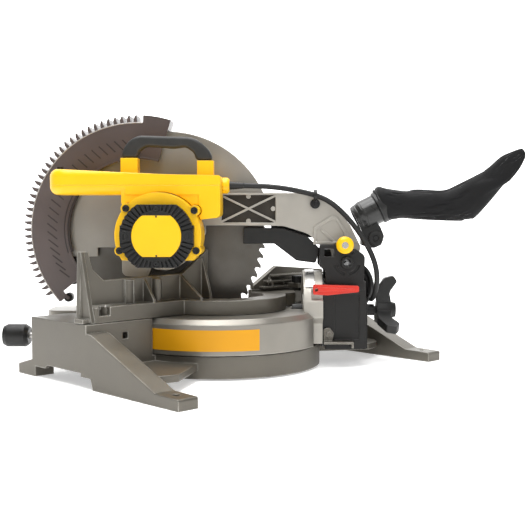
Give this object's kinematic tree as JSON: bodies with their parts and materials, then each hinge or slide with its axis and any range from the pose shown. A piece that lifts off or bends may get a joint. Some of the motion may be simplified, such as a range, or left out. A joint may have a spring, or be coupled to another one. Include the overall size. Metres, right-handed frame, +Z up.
{
  "type": "compound miter saw",
  "caption": "Bench miter saw with round turntable, fixed-pivot tilting head, swinging guard, loop handle, rear dust bag and split fence.",
  "frame": {"origin": "on the bench plane, on the miter axis: centre of the base hub's underside", "axes": "+X to the operator's right along the fence, +Y from the operator to the back, +Z up"},
  "size_m": [0.6146, 0.5949, 0.385],
  "materials": {
    "cast_base": "painted cast aluminium, warm grey",
    "cast_table": "machined cast aluminium",
    "cast_head": "painted cast aluminium, light grey",
    "yellow_plastic": "textured moulding",
    "black_plastic": "fine textured moulding",
    "black_casting": "black powder coat",
    "smoky_guard": "tinted polycarbonate",
    "red_plastic": "moulded",
    "red_insert": "moulded",
    "steel": "turned",
    "blade_steel": "ground saw plate",
    "zinc_screws": "plated",
    "label_orange": "printed vinyl, blank",
    "grip_rubber": "soft grip",
    "bag_cloth": "woven nylon",
    "cord_rubber": "rubber sheath",
    "copper": "wound copper and iron",
    "bronze": "sintered bronze"
  },
  "bodies": {
    "base": {"base_casting": "cast_base", "miter_scale_plate": "steel", "table_pivot_bolt": "steel", "fence_casting": "cast_base", "fence_bolts": "zinc_screws"},
    "left_fence": {"left_sliding_fence": "cast_base"},
    "fence_knob": {"fence_clamp_knob": "black_plastic"},
    "turntable": {"turntable": "cast_table", "kerf_plate": "red_insert", "kerf_screws": "zinc_screws", "label_band": "label_orange", "bevel_quadrant": "cast_head", "bevel_scale": "steel", "bevel_pivot_bolt": "steel"},
    "miter_lock": {"miter_lock_knob": "black_plastic", "miter_lock_rod": "steel"},
    "latch": {"miter_latch": "black_plastic"},
    "bevel_lever": {"bevel_stop_lever": "red_plastic"},
    "column": {"bevel_column": "black_casting", "rear_bracket": "cast_base", "hinge_shaft": "steel", "head_spring": "steel", "cord_loop": "cord_rubber", "cord_coil": "cord_rubber", "power_plug": "cord_rubber"},
    "head_lock": {"lock_pin": "steel", "lock_pin_knob": "yellow_plastic"},
    "bevel_clamp": {"bevel_clamp_knob": "black_plastic"},
    "head": {"arm_casting": "cast_head", "upper_guard": "cast_head", "gear_case": "cast_head", "motor_housing": "yellow_plastic", "motor_screws": "zinc_screws", "motor_end_cap": "black_plastic", "brush_caps": "black_plastic", "badge": "yellow_plastic", "stator": "copper", "ball_bearings": "steel", "handle_lower_shell": "yellow_plastic", "handle_upper_shell": "yellow_plastic", "carry_grip": "grip_rubber", "cord_boss": "yellow_plastic", "cord_clip": "black_plastic", "dust_chute": "black_plastic", "dust_spout": "black_plastic", "bag_collar": "black_plastic", "dust_bag": "bag_cloth", "hinge_bushes": "bronze", "cord_arm": "cord_rubber"},
    "guard": {"lower_guard": "smoky_guard"},
    "roller": {"guard_roller": "black_plastic"},
    "arbor": {"spindle": "steel", "blade": "blade_steel", "blade_flanges": "steel", "blade_bolt": "steel"},
    "lay_shaft": {"lay_gear": "steel"},
    "rotor": {"armature": "copper"},
    "switch_trigger": {"trigger": "black_plastic"},
    "lock_off": {"lock_off_button": "black_plastic"}
  },
  "joints": [
    {"name": "miter", "type": "hinge", "parent": "base", "child": "turntable", "pos_m": [0, 0, 0], "axis": [0, 0, 1], "range_deg": [-95, 5]},
    {"name": "bevel", "type": "hinge", "parent": "turntable", "child": "column", "pos_m": [-0.10607, 0.10607, 0.084], "axis": [0.7071, -0.7071, 0], "range_deg": [0, 48]},
    {"name": "chop", "type": "hinge", "parent": "column", "child": "head", "pos_m": [-0.13909, 0.13909, 0.16], "axis": [-0.7071, -0.7071, 0], "range_deg": [0, 42], "deforming": ["cord_loop"]},
    {"name": "guard_swing", "type": "hinge", "parent": "head", "child": "guard", "pos_m": [0.05657, -0.05657, 0.196], "axis": [0.7071, 0.7071, 0], "range_deg": [0, 101]},
    {"name": "roller_spin", "type": "hinge", "parent": "guard", "child": "roller", "pos_m": [0.17253, -0.15839, 0.1045], "axis": [0.7071, 0.7071, 0], "continuous": true},
    {"name": "blade_spin", "type": "hinge", "parent": "head", "child": "arbor", "pos_m": [0.05657, -0.05657, 0.196], "axis": [0.7071, 0.7071, 0], "continuous": true},
    {"name": "lay_spin", "type": "hinge", "parent": "head", "child": "lay_shaft", "pos_m": [0.08485, -0.02828, 0.227], "axis": [0.7071, 0.7071, 0], "continuous": true},
    {"name": "rotor_spin", "type": "hinge", "parent": "head", "child": "rotor", "pos_m": [0.12021, 0.00707, 0.203], "axis": [0.7071, 0.7071, 0], "continuous": true},
    {"name": "trigger_pull", "type": "slide", "parent": "head", "child": "switch_trigger", "axis": [0.7071, -0.7071, 0], "range_m": [0, 0.005], "stiffness_N_per_m": 600},
    {"name": "lock_off_press", "type": "slide", "parent": "head", "child": "lock_off", "axis": [0, 0, -1], "range_m": [0, 0.0035], "stiffness_N_per_m": 600},
    {"name": "head_lock_slide", "type": "slide", "parent": "column", "child": "head_lock", "axis": [0.7071, 0.7071, 0], "range_m": [-0.0065, 0]},
    {"name": "bevel_clamp_turn", "type": "hinge", "parent": "column", "child": "bevel_clamp", "pos_m": [-0.18385, 0.18385, 0.084], "axis": [-0.7071, 0.7071, 0], "range_deg": [-120, 60]},
    {"name": "miter_lock_turn", "type": "hinge", "parent": "turntable", "child": "miter_lock", "pos_m": [0.21213, -0.21213, 0.043], "axis": [-0.7071, 0.7071, 0], "range_deg": [-120, 60]},
    {"name": "latch_squeeze", "type": "hinge", "parent": "turntable", "child": "latch", "pos_m": [0.17324, -0.17324, 0.0535], "axis": [-0.7071, -0.7071, 0], "range_deg": [-3.1, 0]},
    {"name": "bevel_stop_swing", "type": "hinge", "parent": "turntable", "child": "bevel_lever", "pos_m": [-0.06647, 0.14425, 0.12], "axis": [0.7071, 0.7071, 0], "range_deg": [0, 20]},
    {"name": "left_fence_slide", "type": "slide", "parent": "base", "child": "left_fence", "axis": [-1, 0, 0], "range_m": [0, 0.06]},
    {"name": "fence_knob_turn", "type": "hinge", "parent": "left_fence", "child": "fence_knob", "pos_m": [-0.15, 0.033, 0.125], "axis": [0, 0, 1], "range_deg": [-90, 90]}
  ],
  "couplings": [
    {"joint": "guard_swing", "follows": "chop", "ratio": 2.4},
    {"joint": "lay_spin", "follows": "blade_spin", "ratio": -2.4444},
    {"joint": "rotor_spin", "follows": "blade_spin", "ratio": 7.3333}
  ]
}
